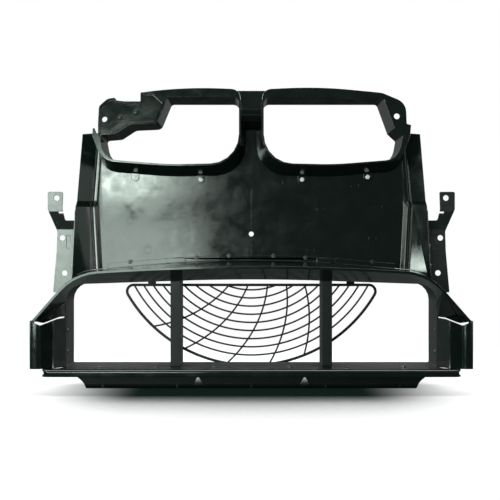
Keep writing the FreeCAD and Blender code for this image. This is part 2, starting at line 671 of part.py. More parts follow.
def rear_frame():
    """Rectangular duct that meets the radiator, with a flange round its rear face."""
    inside = box_outline()
    solid = front_prism(grown(inside, WALL), BOX_Y, REAR_Y)
    flange = front_prism(grown(inside, FLANGE), REAR_Y - WALL, REAR_Y)
    solid = fused([solid, flange]).cut(front_prism(inside, -100, 100))
    for x, z in guard_screw_places():
        solid = solid.cut(rivet_hole((x, 30, z), FRONT, 30, SCREW_R))
    for side in (-1, 1):
        for z in scoop_rivet_heights():
            solid = solid.cut(rivet_hole((side * (BOX_HALF + 15), BOX_Y + 12, z), vec(-side, 0, 0), 30))
    return solid


def strut(side):
    """Channel-shaped upright between the floor and the roof of the rectangular duct."""
    x = side * STRUT_X
    half = STRUT_WIDTH / 2
    solid = box(x - half, x + half, STRUT_Y[0], STRUT_Y[1], -260, -50)
    solid = solid.cut(box(x - half + WALL, x + half - WALL, STRUT_Y[0] + WALL, STRUT_Y[1] + 5, -260, -50))
    height = BOX_TOP_Z - FLOOR_REAR_Z
    for share in (0.25, 0.5, 0.75):
        z = FLOOR_REAR_Z + share * height
        solid = solid.fuse(box(x - half, x + half, STRUT_Y[0], STRUT_Y[1], z - 1, z + 1))
    solid = solid.common(front_prism(box_outline(), -100, 100))
    return solid.removeSplitter()


def scoop_path():
    """Plan of the right scoop: along the duct side, then flaring out to a rounded edge that turns back."""
    return [(BOX_HALF, BOX_Y - 3 * FIT, 0), (BOX_HALF + 10.4, -84.0, 26.0), (SCOOP_HALF - 14, LIP_Y, 9.0),
            (SCOOP_HALF, LIP_Y + 2, 5.0), (SCOOP_HALF, LIP_Y + 24, 0)]


def side_scoop():
    sheet = plan_prism(band(scoop_path(), WALL), -260, SLIT_Z + 10)
    top = SLIT_Z - SLIT_DROP - 6
    low = FLOOR_REAR_Z + 12
    outside = BOX_HALF + 2 * WALL
    tab = box(BOX_HALF + WALL + RIVET_FIT, outside, BOX_Y - 12, BOX_Y + 20, low, top)
    joggle = box(BOX_HALF + WALL * 0.5, outside, BOX_Y - 12, BOX_Y, low, top)
    sheet = sheet.fuse(tab.fuse(joggle))
    inside = BOX_HALF - 45.0
    sheet = sheet.cut(plan_prism(scoop_path()[:3] + [(inside, LIP_Y, 0), (inside, BOX_Y, 0)], -300, 100))
    sheet = sheet.common(slit_cutter(1, SLIT)).cut(below_floor())
    for z in scoop_rivet_heights():
        sheet = sheet.cut(rivet_hole((BOX_HALF + 15, BOX_Y + 12, z), vec(-1, 0, 0), 30))
    return sheet.removeSplitter()


def scoop_rivet_heights():
    return (SLIT_Z - 22.5, FLOOR_REAR_Z + 24.0)


# Fan guard

def polar(r, degrees):
    """Point on the guard; the angle runs from straight down towards the viewer's left."""
    a = math.radians(degrees)
    return -r * math.sin(a), GUARD_Z - r * math.cos(a)


def guard_screw_places():
    rim = [polar(GUARD_RIM_R + 5.0, a) for a in (-8.0, 8.0)]
    top = [(side * GUARD_LUG_X, BOX_TOP_Z + 12.0) for side in (-1, 1)]
    return rim + top


def ring_points(r, bottom_half):
    """Points of a ring below the bar, from the right to the left, at even angles."""
    first = math.degrees(bottom_half)
    steps = max(2, round(2 * first / GUARD_STEP))
    return [polar(r, -first + 2 * first * k / steps) for k in range(steps + 1)]


def arc_band(r):
    """One ring of the guard, cut off along the bar."""
    outer = ring_points(r + GUARD_WIRE / 2, math.acos((GUARD_Z - GUARD_BAR_Z) / (r + GUARD_WIRE / 2)))
    inner = ring_points(r - GUARD_WIRE / 2, math.acos((GUARD_Z - GUARD_BAR_Z) / (r - GUARD_WIRE / 2)))
    corners = [(x, z, 0) for x, z in inner[::-1] + outer]
    return front_prism(corners, REAR_Y, REAR_Y + GUARD_THICK)


def guard_edge():
    """Outer edge of the guard: an arc closed by the bar, with a rounded shoulder at each end of the bar."""
    below_bar = math.acos((GUARD_Z - GUARD_BAR_Z) / GUARD_RIM_R)
    points = ring_points(GUARD_RIM_R + GUARD_RIM_WIDTH / 2, below_bar)
    corners = [(-x, z, 0) for x, z in points]
    corners[0] = corners[0][:2] + (GUARD_SHOULDER_R,)
    corners[-1] = corners[-1][:2] + (GUARD_SHOULDER_R,)
    return corners


def guard_inside():
    """Middle line of rim and bar, which the rings and spokes reach."""
    return grown(guard_edge(), -GUARD_RIM_WIDTH / 2)


def guard_frame():
    """Rim and bar in one piece."""
    outer = front_prism(guard_edge(), REAR_Y, REAR_Y + GUARD_THICK)
    hollow = grown(guard_edge(), -GUARD_RIM_WIDTH)
    return outer.cut(front_prism(hollow, REAR_Y - 1, REAR_Y + GUARD_THICK + 1))


def spoke(angle):
    """One swept spoke, which leans more the nearer it comes to the axis."""
    near, far = [], []
    inner = GUARD_RING_R - GUARD_PITCH
    for step in range(5):
        r = GUARD_RIM_R - 1 - (GUARD_RIM_R - 1 - inner) * step / 4
        lean = angle - SPOKE_SWEEP * (GUARD_RIM_R - r)
        x, z = polar(r, lean)
        across = GUARD_WIRE / 2 * math.cos(math.radians(lean))
        along = GUARD_WIRE / 2 * math.sin(math.radians(lean))
        near.append((x + across, z - along, 0))
        far.append((x - across, z + along, 0))
    return front_prism(near + far[::-1], REAR_Y, REAR_Y + GUARD_THICK)


def fan_guard():
    """Finger guard of concentric rings and swept spokes, cut off by a straight bar at the top."""
    below = front_prism(guard_inside(), REAR_Y - 1, REAR_Y + GUARD_THICK + 1)
    rings = [arc_band(GUARD_RING_R + i * GUARD_PITCH) for i in range(GUARD_RING_COUNT)]
    net = rings[0].multiFuse(rings[1:] + [spoke(a) for a in SPOKE_ANGLES]).common(below)
    lugs = []
    for x, z in guard_screw_places():
        lugs.append(rod(x, REAR_Y, z, LUG_R, GUARD_THICK, FRONT))
        if z > GUARD_BAR_Z:
            bar_low_z = GUARD_BAR_Z - GUARD_RIM_WIDTH
            lugs.append(box(x - LUG_R, x + LUG_R, REAR_Y, REAR_Y + GUARD_THICK, bar_low_z, z))
    solid = net.multiFuse([guard_frame()] + lugs)
    for x, z in guard_screw_places():
        solid = solid.cut(rivet_hole((x, 30, z), FRONT, 30, SCREW_R))
    return solid.removeSplitter()


# Apron

def apron_screw_places():
    return [(side * x, BOX_Y - 14.0) for side in (-1, 1) for x in APRON_SCREW_X]


def lower_apron():
    """Air guide that hangs below the floor and turns back to a flat foot, with two triangular holes."""
    top = FLOOR_REAR_Z - WALL + 1.0
    under = 2 * WALL + 0.2
    path = [(APRON_Y - 24, floor_side(APRON_Y - 24) - under, 0),
            (APRON_Y, floor_side(APRON_Y) - under, 2.0),
            (APRON_Y + 3, APRON_BOTTOM_Z, 10.0), (APRON_Y + APRON_FOOT, APRON_BOTTOM_Z, 0)]
    sheet = side_prism(band(path, WALL), -APRON_TOP_HALF, APRON_TOP_HALF)
    outline = both_sides([(APRON_LOW_HALF, APRON_BOTTOM_Z - 5, 0),
                          (APRON_LOW_HALF + 4, APRON_BOTTOM_Z + 11, 20.0),
                          (APRON_TOP_HALF, APRON_BOTTOM_Z + 25, 0), (APRON_TOP_HALF, top + 10, 0)])
    sheet = sheet.common(front_prism(outline, -100, 100))
    for side in (-1, 1):
        x = side * APRON_HOLE_X
        low = APRON_BOTTOM_Z + 7
        corners = [(x - 8, low, 2.0), (x + 8, low, 2.0), (x + side * 1.0, low + 0.4 * APRON_DROP, 2.0)]
        sheet = sheet.cut(front_prism(corners, -60, 0))
    for x in [-x for x in APRON_WEB_X[1:]] + list(APRON_WEB_X):
        web = [(APRON_Y + 2, FLOOR_REAR_Z - WALL - 1.5, 0), (APRON_Y + 2, APRON_BOTTOM_Z + 2, 0),
               (APRON_Y + 52, APRON_BOTTOM_Z + 2, 0)]
        sheet = sheet.fuse(side_prism(web, x - 1.25, x + 1.25))
    for x, y in apron_screw_places():
        sheet = sheet.cut(rivet_hole((x, y, -260), UP, 100, SCREW_R))
    return sheet.removeSplitter()


# Side brackets

def from_plate_corner(corners):
    return [(PLATE_HALF[0] + c[0], *c[1:]) for c in corners]


def bracket_outline():
    """Front view of the right bracket: top tab, tapering joggle and the long strip."""
    ends = []
    for z in (BRACKET_EDGE[-1][1], BRACKET_EDGE[0][1]):
        ends.append((plate_edge(z) + EDGE_GAP + 0.5, z, 0))
    return from_plate_corner(BRACKET_EDGE) + ends


def side_bracket():
    """Pressed steel angle: a strip facing forward, a flange on the plate's edge and a joggled tab."""
    front = BRACKET_Y - BRACKET_JOGGLE
    top, bottom = BRACKET_EDGE[4][1], BRACKET_EDGE[0][1]
    path = [(front, top + 4, 0), (front, top - 32, 6.0), (BRACKET_Y, top - 60, 6.0),
            (BRACKET_Y, bottom - 5, 0)]
    inside, outside = PLATE_HALF[0] - 18, PLATE_HALF[0] + 52
    sheet = side_prism(band(path, STEEL), inside, outside).common(front_prism(bracket_outline(), -60, 60))
    low, high = [(plate_edge(z) + EDGE_GAP, z) for z in FLANGE_END_Z]
    flange = front_prism([(low[0], low[1], 0), (low[0] + STEEL, low[1], 0), (high[0] + STEEL, high[1], 0),
                          (high[0], high[1], 0)], -12, BRACKET_Y + STEEL)
    notch = rod(high[0] - 5, -12, FLANGE_END_Z[1], 14, 15, ACROSS)
    solid = sheet.fuse(flange.cut(notch))
    solid = solid.cut(front_prism(from_plate_corner(BRACKET_SLOT), BRACKET_Y - 1, BRACKET_Y + STEEL * 0.6))
    for x, z in from_plate_corner(BRACKET_HOLES):
        solid = solid.cut(rod(x, -60, z, BRACKET_HOLE_R, 100, FRONT))
    for z in BRACKET_RIVET_Z:
        solid = solid.cut(rivet_hole((inside, -6, z), ACROSS, 40))
    return solid.cut(front_prism(grown(box_outline(), WALL + 1), -100, 100))


def bracket_rivets(side):
    rivets = []
    for z in BRACKET_RIVET_Z:
        edge = plate_edge(z) + EDGE_GAP + STEEL + 0.2
        rivets.append(rivet((side * edge, -6, z), vec(-side, 0, 0), STEEL + WALL + EDGE_GAP + 0.4))
    return rivets


def scoop_rivets(side):
    start = BOX_HALF + 2 * WALL
    return [rivet((side * start, BOX_Y + 12, z), vec(-side, 0, 0), 2 * WALL) for z in scoop_rivet_heights()]


def guard_screws():
    return [rivet((x, REAR_Y + GUARD_THICK, z), vec(0, -1, 0), GUARD_THICK + WALL, SCREW_R, 5.0, 2.4)
            for x, z in guard_screw_places()]


def apron_screws():
    screws = []
    for x, y in apron_screw_places():
        z = floor_side(y)
        screws.append(rivet((x, y, z - 2 * WALL - 0.7), UP, 2 * WALL + 1.1, SCREW_R, 5.0, 2.4))
    return screws


def make_all():
    """Every piece by name; each entry is one solid or a list of like ones."""
    right_places = [p for p in duct_clip_places() if p[0] > 0]
    left_places = [p for p in duct_clip_places() if p[0] < 0]
    scoop = side_scoop()
    bracket = side_bracket()
    return {
        "centre_plate": centre_plate(),
        "centre_bridge": centre_bridge(),
        "right_grille_duct": right_grille_duct(),
        "left_grille_duct": left_grille_duct(),
        "left_sensor_arm": left_sensor_arm(),
        "lower_duct_hood": lower_duct_hood(),
        "lower_duct_floor": lower_duct_floor(),
        "rear_frame": rear_frame(),
        "left_strut": strut(-1),
        "right_strut": strut(1),
        "right_side_scoop": scoop,
        "left_side_scoop": mirrored(scoop),
        "fan_guard": fan_guard(),
        "lower_apron": lower_apron(),
        "right_bracket": bracket,
        "left_bracket": mirrored(bracket),
        "right_bracket_rivets": bracket_rivets(1),
        "left_bracket_rivets": bracket_rivets(-1),
        "right_scoop_rivets": scoop_rivets(1),
        "left_scoop_rivets": scoop_rivets(-1),
        "hood_rivets": [rivet((x, -WALL, z), FRONT, 2 * WALL) for x, z in seam_rivet_places()],
        "right_duct_clips": [rivet((x, -WALL, z), FRONT, 2 * WALL, CLIP_R, 5.0) for x, z in right_places],
        "left_duct_clips": [rivet((x, -WALL, z), FRONT, 2 * WALL, CLIP_R, 5.0) for x, z in left_places],
        "sensor_arm_rivets": [rivet((x, DUCT_FRONT_Y - WALL, z), FRONT, 2 * WALL)
                              for x, z in arm_rivet_places()],
        "guard_screws": guard_screws(),
        "apron_screws": apron_screws(),
    }


os.makedirs("parts", exist_ok=True)
for name, shape in make_all().items():
    if isinstance(shape, list):
        shape = Part.makeCompound(shape)
    elif len(shape.Solids) == 1:
        shape = shape.Solids[0]
    print(name, len(shape.Solids), shape.isValid(), round(shape.Volume / 1000.0, 2), shape.BoundBox)
    shape.exportStep("parts/" + name + ".step")
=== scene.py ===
import math

import bmesh
import bpy
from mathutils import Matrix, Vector


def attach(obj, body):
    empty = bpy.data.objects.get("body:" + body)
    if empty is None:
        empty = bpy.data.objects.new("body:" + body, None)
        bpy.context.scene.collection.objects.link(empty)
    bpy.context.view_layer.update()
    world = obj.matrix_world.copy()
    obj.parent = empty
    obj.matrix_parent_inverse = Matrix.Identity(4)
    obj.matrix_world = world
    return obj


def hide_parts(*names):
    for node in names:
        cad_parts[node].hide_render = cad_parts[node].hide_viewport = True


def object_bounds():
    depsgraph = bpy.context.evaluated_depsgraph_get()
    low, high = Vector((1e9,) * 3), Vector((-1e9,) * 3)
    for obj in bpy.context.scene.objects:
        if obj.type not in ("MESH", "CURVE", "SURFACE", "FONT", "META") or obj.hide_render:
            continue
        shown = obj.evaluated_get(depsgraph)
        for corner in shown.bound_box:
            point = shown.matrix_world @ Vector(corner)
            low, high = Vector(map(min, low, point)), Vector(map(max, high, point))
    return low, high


bl_info = {
    "name": "Front End Panel",
    "version": (1, 0, 0),
    "blender": (4, 5, 0),
    "location": "3D View > Sidebar > Front Panel",
    "description": "Finishes a moulded front end panel with its fasteners and a photo studio",
    "category": "Add Mesh",
}

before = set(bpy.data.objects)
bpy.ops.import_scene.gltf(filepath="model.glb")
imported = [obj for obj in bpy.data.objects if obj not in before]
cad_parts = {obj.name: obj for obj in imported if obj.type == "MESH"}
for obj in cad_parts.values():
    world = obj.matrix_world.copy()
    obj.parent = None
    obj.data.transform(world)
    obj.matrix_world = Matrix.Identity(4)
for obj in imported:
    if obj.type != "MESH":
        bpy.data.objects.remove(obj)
CAD_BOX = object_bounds()
MM = 0.001
BODY = "root"


def linear(code):
    """Linear colour with alpha from an sRGB hex code such as "1b2420"."""
    parts = [int(code[i:i + 2], 16) / 255 for i in (0, 2, 4)]
    return tuple(c / 12.92 if c <= 0.04045 else ((c + 0.055) / 1.055) ** 2.4 for c in parts) + (1.0,)


def add_node(tree, kind, inputs=(), **settings):
    """Adds a node. inputs pairs an input's name or number with a value or the socket that feeds it."""
    made = tree.nodes.new(kind)
    for key, value in settings.items():
        setattr(made, key, value)
    for key, value in dict(inputs).items():
        if isinstance(value, bpy.types.NodeSocket):
            tree.links.new(value, made.inputs[key])
        else:
            made.inputs[key].default_value = value
    return made


# Settings

class FrontPanelSizes(bpy.types.PropertyGroup):
    edge_round: bpy.props.FloatProperty(
        name="Edge Round", description="Radius on the cut edges of the mouldings",
        default=0.5 * MM, min=0.0, unit="LENGTH")
    bend_round: bpy.props.FloatProperty(
        name="Bend Round", description="Radius on the bends of the mouldings",
        default=0.9 * MM, min=0.0, unit="LENGTH")
    steel_round: bpy.props.FloatProperty(
        name="Steel Round", description="Radius on the edges of the pressed steel brackets",
        default=0.3 * MM, min=0.0, unit="LENGTH")
    rivet_head: bpy.props.FloatProperty(
        name="Rivet Head Radius", description="Radius of a rivet's domed head",
        default=4.5 * MM, min=0.0, unit="LENGTH")
    mark_radius: bpy.props.FloatProperty(
        name="Ejector Mark Radius", description="Radius of the rings that the mould's ejector pins leave",
        default=6.0 * MM, min=0.0, unit="LENGTH")


class FrontPanelColours(bpy.types.PropertyGroup):
    plastic: bpy.props.FloatVectorProperty(
        name="Plastic", description="Colour of the moulded polypropylene",
        default=linear("09110e"), size=4, min=0.0, max=1.0, subtype="COLOR")
    steel: bpy.props.FloatVectorProperty(
        name="Coated Steel", description="Colour of the dip coat on the brackets",
        default=linear("1a1f20"), size=4, min=0.0, max=1.0, subtype="COLOR")
    nylon: bpy.props.FloatVectorProperty(
        name="Nylon", description="Colour of rivets and push clips",
        default=linear("141817"), size=4, min=0.0, max=1.0, subtype="COLOR")
    natural_nylon: bpy.props.FloatVectorProperty(
        name="Natural Nylon", description="Colour of the uncoloured push clips below the grille openings",
        default=linear("d4d6cf"), size=4, min=0.0, max=1.0, subtype="COLOR")
    plating: bpy.props.FloatVectorProperty(
        name="Plating", description="Colour of the plated screws",
        default=linear("8c8f8c"), size=4, min=0.0, max=1.0, subtype="COLOR")


class FrontPanelStudio(bpy.types.PropertyGroup):
    camera_distance: bpy.props.FloatProperty(
        name="Camera Distance", description="Distance from the camera to the front of the plate",
        default=1.6, min=0.1, unit="LENGTH")
    focal_length: bpy.props.FloatProperty(
        name="Focal Length", description="Focal length of the camera in millimetres on a 36 mm sensor",
        default=71.1, min=10.0)
    softbox_power: bpy.props.FloatProperty(
        name="Softbox Power", description="Power of which each softbox beside the camera takes a share",
        default=18.0, min=0.0, unit="POWER")


# Materials

def new_material(name):
    material = bpy.data.materials.new(name)
    material.use_nodes = True
    material.node_tree.nodes.clear()
    return material, material.node_tree


def own_place(tree):
    return add_node(tree, "ShaderNodeTexCoord").outputs["Object"]


def noise(tree, place, size, detail, roughness=0.5, distortion=0.0):
    """Noise whose patches are about as large as size, in metres."""
    return add_node(tree, "ShaderNodeTexNoise", {
        "Vector": place, "Scale": 1 / size, "Detail": detail, "Roughness": roughness,
        "Distortion": distortion}).outputs["Fac"]


def mapped(tree, value, low, high, given=(0.0, 1.0), **settings):
    """Brings a value from the range given to the range from low to high."""
    return add_node(tree, "ShaderNodeMapRange", {
        "Value": value, "From Min": given[0], "From Max": given[1], "To Min": low, "To Max": high},
        **settings).outputs["Result"]


def calc(tree, operation, first, second=0.0):
    return add_node(tree, "ShaderNodeMath", {0: first, 1: second}, operation=operation).outputs[0]


def blend(tree, factor, first, second):
    """Colour between two others."""
    return add_node(tree, "ShaderNodeMix", {"Factor": factor, 6: first, 7: second},
                    data_type="RGBA").outputs[2]


def brighter(colour, times):
    return tuple(c * times for c in colour[:3]) + (1.0,)


def bump(tree, height, distance, under=None):
    """Normal of a bump, which lies on the normal of another where one is given."""
    inputs = {"Height": height, "Strength": 1.0, "Distance": distance}
    if under is not None:
        inputs["Normal"] = under
    return add_node(tree, "ShaderNodeBump", inputs).outputs["Normal"]


def principled(material, inputs):
    """Ends a material in one principled surface."""
    tree = material.node_tree
    shader = add_node(tree, "ShaderNodeBsdfPrincipled", inputs)
    add_node(tree, "ShaderNodeOutputMaterial", {"Surface": shader.outputs["BSDF"]})
    return material


def moulded_polypropylene(name, colour, roughness, ripple, index):
    """Black polypropylene. From a polished mould the skin mirrors lamps softly, from an etched one it is
    dull. Sink over the ribs and uneven cooling make the reflection wander, flow marks streak it, and a
    thin release film clouds the gloss."""
    material, tree = new_material(name)
    place = own_place(tree)
    sink = noise(tree, place, 0.11, 1.0, roughness=0.4)
    flow = noise(tree, place, 0.024, 3.0, distortion=0.9)
    film = noise(tree, place, 0.03, 5.0, roughness=0.6, distortion=0.4)
    grain = noise(tree, place, 0.0012, 2.0)
    wide = bump(tree, sink, ripple * 3)
    slow = bump(tree, flow, ripple, wide)
    fine = bump(tree, grain, 0.004 * MM, slow)
    return principled(material, {
        "Base Color": blend(tree, film, colour, brighter(colour, 1.8)),
        "Roughness": mapped(tree, film, roughness - 0.04, roughness + 0.08, (0.32, 0.68)),
        "IOR": index, "Normal": fine})


def dip_coated_steel(name, colour):
    """Pressed sheet steel in a dip coat: thin even paint with orange peel, rubbed brighter in patches."""
    material, tree = new_material(name)
    place = own_place(tree)
    peel = noise(tree, place, 0.003, 2.0)
    wear = noise(tree, place, 0.012, 6.0, roughness=0.7)
    worn = mapped(tree, wear, 0.0, 1.0, (0.62, 0.7))
    return principled(material, {
        "Base Color": blend(tree, worn, colour, linear("3c4142")),
        "Roughness": mapped(tree, wear, 0.22, 0.42),
        "IOR": 1.75, "Normal": bump(tree, peel, 0.02 * MM)})


def moulded_nylon(name, colour):
    """Nylon of push rivets and clips: slightly waxy and softer in gloss than the panel."""
    material, tree = new_material(name)
    haze = noise(tree, own_place(tree), 0.002, 3.0)
    return principled(material, {
        "Base Color": blend(tree, haze, colour, brighter(colour, 1.5)),
        "Roughness": mapped(tree, haze, 0.3, 0.5), "IOR": 1.53})


def plated_steel(name, colour):
    """Zinc-plated screws: bright grey metal with a fine, slightly cloudy plating."""
    material, tree = new_material(name)
    haze = noise(tree, own_place(tree), 0.0015, 4.0)
    return principled(material, {
        "Base Color": blend(tree, haze, colour, linear("b3b5ae")),
        "Roughness": mapped(tree, haze, 0.25, 0.5), "Metallic": 1.0})


def finish(name):
    """Material by name, made the first time it is asked for."""
    made = bpy.data.materials.get(name)
    if made:
        return made
    colours = bpy.context.scene.front_panel_colours
    if name == "polished_polypropylene":
        return moulded_polypropylene(name, tuple(colours.plastic),
                                     roughness=0.12, ripple=0.08 * MM, index=1.5)
    if name == "satin_polypropylene":
        return moulded_polypropylene(name, tuple(colours.plastic),
                                     roughness=0.46, ripple=0.05 * MM, index=1.36)
    if name == "dip_coated_steel":
        return dip_coated_steel(name, tuple(colours.steel))
    if name == "natural_nylon":
        return moulded_nylon(name, tuple(colours.natural_nylon))
    if name == "moulded_nylon":
        return moulded_nylon(name, tuple(colours.nylon))
    return plated_steel(name, tuple(colours.plating))


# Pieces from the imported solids

SAME_CORNER = 0.01 * MM   # packed corners nearer than this are one corner
TINY_EDGE = 0.3 * MM      # shorter edges are closed up before a piece is rounded
LOST_FACE = 0.02 * MM     # faces narrower than this are dropped
FLAT_ANGLE = 0.4          # degrees: faces that meet at less are one flat face
CUT_EDGE_ANGLE = 62       # degrees: edges sharper than this get the edge radius
BEND_ANGLE = 24           # degrees: edges sharper than this get the bend radius
SLIGHT_BEND_ANGLE = 9     # degrees: the same between faces broader than WIDE_FACE
WIDE_FACE = 16 * MM


def joined_mesh(name, reach=TINY_EDGE, cuts=()):
    """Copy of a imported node's mesh with its loose triangles joined, without its tiniest edges. cuts are
    points and directions of planes where flat faces stay divided, so that none is a ring round a hole."""
    bm = bmesh.new()
    bm.from_mesh(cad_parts[name].data)
    bmesh.ops.remove_doubles(bm, verts=bm.verts, dist=SAME_CORNER)
    bmesh.ops.remove_doubles(bm, verts=bm.verts, dist=reach)
    bmesh.ops.dissolve_degenerate(bm, dist=LOST_FACE, edges=bm.edges)
    for place, way in cuts:
        cut = bmesh.ops.bisect_plane(bm, geom=bm.verts[:] + bm.edges[:] + bm.faces[:], dist=0.001 * MM,
                                     plane_co=place, plane_no=way)
        for item in cut["geom_cut"]:
            if isinstance(item, bmesh.types.BMEdge):
                item.seam = True
    bmesh.ops.dissolve_limit(bm, angle_limit=math.radians(FLAT_ANGLE), verts=bm.verts, edges=bm.edges,
                             delimit={"SEAM"})
    return bm


def face_breadth(face, edge):
    """Breadth of a face across one of its edges, from its area."""
    return face.calc_area() / max(edge.calc_length(), 0.1 * MM)


def rounded_piece(name, material, edge_round, bend_round, cuts=()):
    """Stands in for a node: the same solid with small radii on its edges and bends. Narrow faces that
    meet at a small angle are runs of one curve, and are only shaded smooth."""
    bm = joined_mesh(name, cuts=cuts)
    weights = bm.edges.layers.float.new("bevel_weight_edge")
    widest = max(edge_round, bend_round)
    for edge in bm.edges:
        if len(edge.link_faces) != 2:
            continue
        angle = math.degrees(edge.calc_face_angle(0.0))
        breadth = min(face_breadth(face, edge) for face in edge.link_faces)
        if angle > CUT_EDGE_ANGLE:
            edge[weights] = edge_round / widest
        elif angle > BEND_ANGLE or (angle > SLIGHT_BEND_ANGLE and breadth > WIDE_FACE):
            edge[weights] = bend_round / widest
    mesh = bpy.data.meshes.new(name + "_finished")
    bm.to_mesh(mesh)
    bm.free()
    piece = bpy.data.objects.new(name + "_finished", mesh)
    bpy.context.scene.collection.objects.link(piece)
    bevel = piece.modifiers.new("Bevel", "BEVEL")
    bevel.width = widest
    bevel.segments = 2
    bevel.limit_method = "WEIGHT"
    bevel.use_clamp_overlap = False
    bevel.miter_outer = "MITER_ARC"
    normals = piece.modifiers.new("Weighted Normal", "WEIGHTED_NORMAL")
    normals.weight = 50
    mesh.shade_smooth()
    flatten(piece)
    settle(piece, material)
    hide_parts(name)


def new_piece(name, verts, edges=(), faces=()):
    mesh = bpy.data.meshes.new(name)
    mesh.from_pydata(verts, edges, faces)
    piece = bpy.data.objects.new(name, mesh)
    bpy.context.scene.collection.objects.link(piece)
    return piece


def node_tree(name, inputs):
    """Geometry Nodes tree with one geometry going in and out, and the named inputs with their sizes."""
    tree = bpy.data.node_groups.new(name, "GeometryNodeTree")
    tree.interface.new_socket("Geometry", in_out="INPUT", socket_type="NodeSocketGeometry")
    for label, size in inputs.items():
        socket = tree.interface.new_socket(label, in_out="INPUT", socket_type="NodeSocketFloat")
        socket.default_value = size
    tree.interface.new_socket("Material", in_out="INPUT", socket_type="NodeSocketMaterial")
    tree.interface.new_socket("Geometry", in_out="OUTPUT", socket_type="NodeSocketGeometry")
    return tree, add_node(tree, "NodeGroupInput").outputs


def close_tree(tree, given, geometry):
    """Ends a tree in plain geometry with its material."""
    real = add_node(tree, "GeometryNodeRealizeInstances", {"Geometry": geometry})
    coat = add_node(tree, "GeometryNodeSetMaterial", {
        "Geometry": real.outputs[0], "Material": given["Material"]})
    add_node(tree, "NodeGroupOutput", {"Geometry": coat.outputs[0]})


def run_tree(piece, tree, material, **values):
    """Puts a tree on a piece, sets its inputs by identifier, and keeps the result as a plain mesh."""
    modifier = piece.modifiers.new(tree.name, "NODES")
    modifier.node_group = tree
    values["Material"] = finish(material)
    for socket in tree.interface.items_tree:
        if socket.in_out == "INPUT" and socket.name in values:
            modifier[socket.identifier] = values[socket.name]
    flatten(piece)


def swept_tree():
    """A rounded bar that follows every line of the piece; Width lies across the line, Depth along Y."""
    made = bpy.data.node_groups.get("swept_bar")
    if made:
        return made
    tree, given = node_tree("swept_bar", {"Width": 2.8 * MM, "Depth": 3.0 * MM, "Rounding": 0.8 * MM})
    lines = add_node(tree, "GeometryNodeMeshToCurve", {"Mesh": given["Geometry"]})
    turned = add_node(tree, "GeometryNodeSetCurveNormal", {
        "Curve": lines.outputs[0], "Normal": (0.0, 1.0, 0.0)}, mode="FREE")
    outline = add_node(tree, "GeometryNodeCurvePrimitiveQuadrilateral", {
        "Width": given["Depth"], "Height": given["Width"]})
    soft = add_node(tree, "GeometryNodeFilletCurve", {
        "Curve": outline.outputs[0], "Radius": given["Rounding"], "Count": 3, "Limit Radius": True},
        mode="POLY")
    bar = add_node(tree, "GeometryNodeCurveToMesh", {
        "Curve": turned.outputs[0], "Profile Curve": soft.outputs[0], "Fill Caps": True})
    smooth = add_node(tree, "GeometryNodeSetShadeSmooth", {"Geometry": bar.outputs[0]})
    close_tree(tree, given, smooth.outputs[0])
    return tree


def domed_disc(tree, radius, height, fall, sides=24):
    """Disc on Z = 0 whose top is domed: it falls by the share given from the middle to the rim."""
    disc = add_node(tree, "GeometryNodeMeshCylinder", {
        "Vertices": sides, "Side Segments": 1, "Fill Segments": 5, "Radius": radius, "Depth": height},
        fill_type="TRIANGLE_FAN")
    place = add_node(tree, "GeometryNodeInputPosition").outputs[0]
    split = add_node(tree, "ShaderNodeSeparateXYZ", {0: place}).outputs
    flat = add_node(tree, "ShaderNodeCombineXYZ", {0: split[0], 1: split[1]}).outputs[0]
    reach = add_node(tree, "ShaderNodeVectorMath", {0: flat}, operation="LENGTH").outputs["Value"]
    share = calc(tree, "DIVIDE", reach, radius)
    square = calc(tree, "MULTIPLY", share, share)
    slope = calc(tree, "MULTIPLY", calc(tree, "MULTIPLY", square, -fall), height)
    on_top = calc(tree, "GREATER_THAN", split[2], 0.0)
    drop = calc(tree, "MULTIPLY", slope, on_top)
    lift = calc(tree, "MULTIPLY", height, 0.5)
    move = add_node(tree, "ShaderNodeCombineXYZ", {2: calc(tree, "ADD", drop, lift)})
    return add_node(tree, "GeometryNodeSetPosition", {
        "Geometry": disc.outputs["Mesh"], "Offset": move.outputs[0]}).outputs[0]


def moved(tree, geometry, along, flip=False):
    """Moves geometry along Z, turned upside down first if flip is set."""
    shift = add_node(tree, "ShaderNodeCombineXYZ", {2: along})
    turn = (math.pi, 0.0, 0.0) if flip else (0.0, 0.0, 0.0)
    return add_node(tree, "GeometryNodeTransform", {
        "Geometry": geometry, "Translation": shift.outputs[0], "Rotation": turn}).outputs[0]


